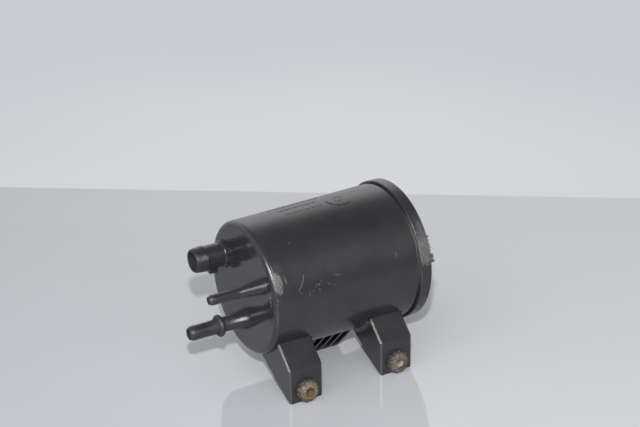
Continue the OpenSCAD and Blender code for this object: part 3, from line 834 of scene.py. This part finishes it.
def plain_bars():
    """Rows of plain raised bars beside the dating mark, all added inside one emptied mesh."""
    dice = random.Random(7)
    clear_selection()
    bpy.ops.mesh.primitive_plane_add(size=1 * MM)
    piece = settle("marking_bars")
    bpy.ops.object.mode_set(mode="EDIT")
    bpy.ops.mesh.select_all(action="SELECT")
    bpy.ops.mesh.delete(type="VERT")
    for degrees, first, last in BAR_ROWS:
        at = first
        while at < last:
            run = dice.uniform(*BAR_RUNS_MM)
            middle = above_skin(at + run / 2, degrees)
            bpy.ops.mesh.select_all(action="DESELECT")
            bpy.ops.mesh.primitive_grid_add(x_subdivisions=6, y_subdivisions=4, size=1 * MM,
                                            location=middle)
            bpy.ops.transform.resize(value=(run, BAR_WIDTH_MM, 1), center_override=middle)
            at += run + dice.uniform(*BAR_GAPS_MM)
    bpy.ops.object.mode_set(mode="OBJECT")
    lay_on_skin(piece, BAR_SOFT, BAR_H)
    hand_over(piece, body_plastic)


dating_disc()
plain_bars()

# %% [markdown]
# Where the cap's rim was dragged, the plastic tore into small frayed slivers along its rear edge, with a
# thicker burr at the lower end. One sliver is a thin cone, bent by moving its tip. Copies of it, each
# with its own size and lean, stand in the worn stretch. A seeded dice keeps them the same on every run.

# %% Frayed slivers on the cap's rim
# How many slivers, between which degrees up from the feet's side, and from which to which size.
FRAYS = [(40, 17.0, 31.0, 0.55, 0.85), (60, 10.5, 17.0, 0.8, 1.4)]
SLIVER_LEN = 2 * MM
SLIVER_ROOT_R = 0.5 * MM
SLIVER_TIP_R = 0.08 * MM
SLIVER_FLAT = 0.5
# Bends of a sliver: all above a height moves sideways, in mm.
SLIVER_BENDS = [(0.6, 0.12), (1.3, 0.2), (1.9, 0.25)]
ROOT_SINK = 0.45 * MM
ROOT_DEPTHS_MM = (0.3, 2.0)
LEANS_ALONG = (-0.9, 0.1)
LEANS_BACK = (0.3, 1.7)


def one_sliver():
    """A thin, flattened, bent cone whose root lies at the origin and whose tip points along Z."""
    bpy.ops.mesh.primitive_cone_add(vertices=6, radius1=SLIVER_ROOT_R, radius2=SLIVER_TIP_R,
                                    depth=SLIVER_LEN, location=(0, 0, SLIVER_LEN / 2))
    piece = settle("sliver")
    bpy.ops.object.mode_set(mode="EDIT")
    bpy.ops.mesh.select_all(action="SELECT")
    bpy.ops.mesh.subdivide(number_cuts=2)
    for height, lean in SLIVER_BENDS:
        pick_corners(piece, lambda co: co.z > height * MM)
        bpy.ops.transform.translate(value=(lean * MM, 0, 0))
    bpy.ops.mesh.select_all(action="SELECT")
    bpy.ops.transform.resize(value=(SLIVER_FLAT, 1, 1), center_override=(0, 0, 0))
    bpy.ops.object.mode_set(mode="OBJECT")
    return piece


def frayed_rim():
    """Copies of one sliver along the worn stretch of the cap's rear edge, joined to one piece."""
    dice = random.Random(21)
    clear_selection()
    master = one_sliver()
    copies = []
    draws = [(dice.uniform(first, last), dice.uniform(least, largest))
             for count, first, last, least, largest in FRAYS for _ in range(count)]
    for degrees, size in draws:
        turn = math.radians(degrees)
        outward = Vector((0, -math.cos(turn), math.sin(turn)))
        along = Vector((0, math.sin(turn), math.cos(turn)))
        lean = outward + along * dice.uniform(*LEANS_ALONG) + Vector((dice.uniform(*LEANS_BACK), 0, 0))
        depth = cap_high.x - dice.uniform(*ROOT_DEPTHS_MM) * MM
        root = Vector((depth, axis_y, axis_z)) + outward * (cap_r - ROOT_SINK)
        copy = master.copy()
        copy.data = master.data.copy()
        bpy.context.collection.objects.link(copy)
        spin = Matrix.Rotation(dice.uniform(0, 2 * math.pi), 4, "Z")
        grow = Matrix.Diagonal((size, size, size, 1))
        tilt = lean.to_track_quat("Z", "Y").to_matrix().to_4x4()
        copy.matrix_world = Matrix.Translation(root) @ tilt @ spin @ grow
        copies.append(copy)
    clear_selection()
    for copy in copies:
        copy.select_set(True)
    bpy.context.view_layer.objects.active = copies[0]
    bpy.ops.object.join()
    piece = settle("frayed_cap_rim")
    bpy.data.objects.remove(master)
    tidy_mesh(piece)
    hand_over(piece, cap_plastic)


frayed_rim()

# %% [markdown]
# The part lies on a pale table in a white room. The table is a slab whose back edge shows behind the
# part, and a wider pale ground lies below it. Both are stage, not part of the object. The table's colour
# grows paler along X, a painted light, and the ground glows with a painted pool of light behind the part.
# The table is glossy, so the part leaves a reflection in it.

# %% Table and ground
GROUND_Z = -0.05
GROUND_SIZE = 14
GROUND_SHADE_TO_LIGHT_TONES = (colour(0.585, 0.60, 0.635), colour(0.67, 0.68, 0.705))
TABLE_SHADE_TO_LIGHT_TONES = (colour(0.545, 0.566, 0.592), colour(0.66, 0.68, 0.70))
TABLE_SIZE = Vector((5.0, 2.6, 0.03))
TABLE_ROUND = 1.5 * MM
BACK_EDGE = (Vector((-0.0645, 0.3846, 0)), Vector((0.3647, 0.0804, 0)))


def table_finish():
    """Pale, glossy table top with faint cloudiness, and painted light that makes it paler along X."""
    finish, tree, shader, place = new_finish("pale_table_top")
    parts = add_node(tree, "ShaderNodeSeparateXYZ", {0: place}).outputs
    # Painted light: the colour runs from the darker to the paler tone along X, standing in for light that
    # is brighter on that side.
    painted_light_haze = math_node(tree, "MULTIPLY_ADD", clouds(tree, place, 6.0, 3.0), 0.25, parts["X"])
    shade = blended(tree, mapped(tree, painted_light_haze, -0.1, 0.35), *TABLE_SHADE_TO_LIGHT_TONES)
    tree.links.new(shade, shader.inputs["Base Color"])
    rough = mapped(tree, clouds(tree, place, 30.0), 0.3, 0.7, 0.03, 0.07)
    tree.links.new(rough, shader.inputs["Roughness"])
    return finish


def ground_finish():
    """Pale ground beyond the table, painted paler near the part as a painted pool of light. Seen directly
    or in a reflection it glows with that tone.
    """
    finish, tree, shader, place = new_finish("pale_ground")
    painted_light_haze = clouds(tree, place, 3.0, 2.0)
    # Painted light: the ground is paler near a point behind the part and darker farther off, a painted
    # pool of light broken up by clouds.
    middle = vector_node(tree, "DISTANCE", place, (0.16, 0.26, GROUND_Z))
    near = mapped(tree, math_node(tree, "MULTIPLY_ADD", painted_light_haze, 0.2, middle), 0.75, 0.15)
    shade = blended(tree, near, *GROUND_SHADE_TO_LIGHT_TONES)
    tree.links.new(shade, shader.inputs["Base Color"])
    shader.inputs["Roughness"].default_value = 0.9
    rays = add_node(tree, "ShaderNodeLightPath", {}).outputs
    seen = most(tree, [rays["Is Camera Ray"], rays["Is Glossy Ray"], rays["Is Transmission Ray"]])
    pale = add_node(tree, "ShaderNodeEmission", {"Color": shade}).outputs[0]
    mixed = add_node(tree, "ShaderNodeMixShader", {0: seen, 1: shader.outputs[0], 2: pale}).outputs[0]
    tree.links.new(mixed, tree.nodes["Material Output"].inputs["Surface"])
    return finish


edge_way = (BACK_EDGE[1] - BACK_EDGE[0]).normalized()
edge_middle = (BACK_EDGE[0] + BACK_EDGE[1]) / 2
towards_viewer = Vector((edge_way.y, -edge_way.x, 0))
table_middle = edge_middle + towards_viewer * TABLE_SIZE.y / 2 - Vector((0, 0, TABLE_SIZE.z / 2))

clear_selection()
bpy.ops.mesh.primitive_cube_add(size=1, location=table_middle,
                                rotation=(0, 0, math.atan2(edge_way.y, edge_way.x)))
bpy.context.active_object.scale = TABLE_SIZE
table = settle("pale_table")
apply_modifier(table, "BEVEL", width=TABLE_ROUND, segments=2)
table.data.materials.append(table_finish())
clear_selection()
bpy.ops.mesh.primitive_grid_add(x_subdivisions=4, y_subdivisions=4, size=GROUND_SIZE,
                                location=(0, 0, GROUND_Z))
ground = settle("pale_ground")
ground.data.materials.append(ground_finish())
print("table's back edge is", round(edge_middle.length, 3), "m away")

# %% [markdown]
# The sheen on a dark drum is a picture of the room: a bright wall behind it, and a dim ceiling. So for
# reflections the world is a ramp by height and by side. All other rays get soft daylight from the
# viewer's left, which lights the matt surfaces. A small key lamp over the camera's shoulder adds the
# clear, short shadows, and four large soft lamps show only as glints on the ports, the rims and the feet.
# Light linking keeps them from showing as white discs in the glossy table. The fourth stands where the
# near lamp's mirror image lies below the table, with about a tenth of its power, because the glossy table
# throws that glint up at the feet.

# %% Light
WALL_WAY = (0.64, 0.768, 0.0)
DAY_WAY = (-0.70, -0.48, 0.53)
LAMP_TARGET = Vector((0, 0, 0.06))

world = bpy.data.worlds.new("white_room")
bpy.context.scene.world = world
world.use_nodes = True
sky = world.node_tree
way = sky.nodes.new("ShaderNodeTexCoord").outputs["Generated"]
height = add_node(sky, "ShaderNodeSeparateXYZ", {0: way}).outputs["Z"]
overhead = mapped(sky, height, 0.48, 0.91, 1.0, 0.05)
horizon = mapped(sky, height, 0.1, 0.45, 0.65, 1.0)
towards_wall = vector_node(sky, "DOT_PRODUCT", way, WALL_WAY)
room = mapped(sky, towards_wall, -0.7, 0.85, 0.32, 1.46)
sheen = math_node(sky, "MULTIPLY", math_node(sky, "MULTIPLY", overhead, horizon), room)
towards_day = vector_node(sky, "DOT_PRODUCT", way, DAY_WAY)
daylight = mapped(sky, towards_day, 0.3, 0.95, 0.15, 1.02)
mirrored = sky.nodes.new("ShaderNodeLightPath").outputs["Is Glossy Ray"]
either = {0: mirrored, 2: daylight, 3: sheen}
strength = add_node(sky, "ShaderNodeMix", either, data_type="FLOAT").outputs[0]
sky.nodes["Background"].inputs["Color"].default_value = colour(0.97, 0.98, 1.0)
sky.links.new(strength, sky.nodes["Background"].inputs["Strength"])

no_glints = bpy.data.collections.new("stage_without_glints")
for stage_piece in (table, ground):
    no_glints.objects.link(stage_piece)
for member in no_glints.collection_objects:
    member.light_linking.link_state = "EXCLUDE"


def soft_lamp(name, direction, away, size, watts, glints=True):
    """A soft lamp, width by height, that looks at the part's middle from a direction and a distance."""
    made = bpy.data.lights.new(name, "AREA")
    made.shape = "ELLIPSE"
    made.size = size[0]
    made.size_y = size[1]
    made.energy = watts
    lamp = bpy.data.objects.new(name, made)
    bpy.context.collection.objects.link(lamp)
    outward = Vector(direction).normalized()
    lamp.location = LAMP_TARGET + outward * away
    lamp.rotation_mode = "QUATERNION"
    lamp.rotation_quaternion = outward.to_track_quat("Z", "Y")
    lamp.visible_camera = False
    lamp.visible_diffuse = not glints
    lamp.visible_glossy = glints
    if glints:
        lamp.light_linking.receiver_collection = no_glints
    print(name, "stands at", [round(c, 2) for c in lamp.location])
    return lamp


soft_lamp("key_lamp", (-0.406, -0.718, 0.566), 0.994, (0.035, 0.035), 7.0, False)
soft_lamp("right_strip", (0.045, -0.861, 0.506), 1.49, (0.16, 1.1), 11.4)
soft_lamp("near_strip", (-0.654, -0.568, 0.5), 1.2, (0.5, 0.5), 16.0)
table_strip = soft_lamp("table_strip", (-0.654, -0.568, -0.6), 1.265, (0.62, 0.62), 1.4)
table_strip.light_linking.blocker_collection = no_glints
soft_lamp("left_strip", (-0.876, -0.203, 0.4365), 1.29, (0.32, 0.32), 2.3)

# %% [markdown]
# The camera stands where the photograph was taken from: its place, its turn and its lens were worked out
# from the edges of the drum, the cap, the ports and the feet.

# %% Camera
AZIMUTH = math.radians(-30.274)
ELEVATION = math.radians(24.277)
ROLL = math.radians(1.031)
LENS_MM = 86.4
SENSOR_MM = 36
CAMERA_PLACE = (-0.42644, -0.76330, 0.49959)

right = Vector((math.cos(AZIMUTH), math.sin(AZIMUTH), 0))
level_back = Vector((math.sin(AZIMUTH), -math.cos(AZIMUTH), 0))
back = level_back * math.cos(ELEVATION) + Vector((0, 0, math.sin(ELEVATION)))
up = back.cross(right)
rolled_right = right * math.cos(ROLL) - up * math.sin(ROLL)
rolled_up = up * math.cos(ROLL) + right * math.sin(ROLL)
camera_data = bpy.data.cameras.new("view_camera")
camera_data.lens = LENS_MM
camera_data.sensor_width = SENSOR_MM
camera = bpy.data.objects.new("view_camera", camera_data)
bpy.context.collection.objects.link(camera)
turned = Matrix((rolled_right, rolled_up, back)).transposed()
camera.matrix_world = Matrix.LocRotScale(CAMERA_PLACE, turned, None)
bpy.context.scene.camera = camera
bpy.context.scene.view_settings.view_transform = "Standard"
print("camera looks from", [round(c, 3) for c in camera.location])
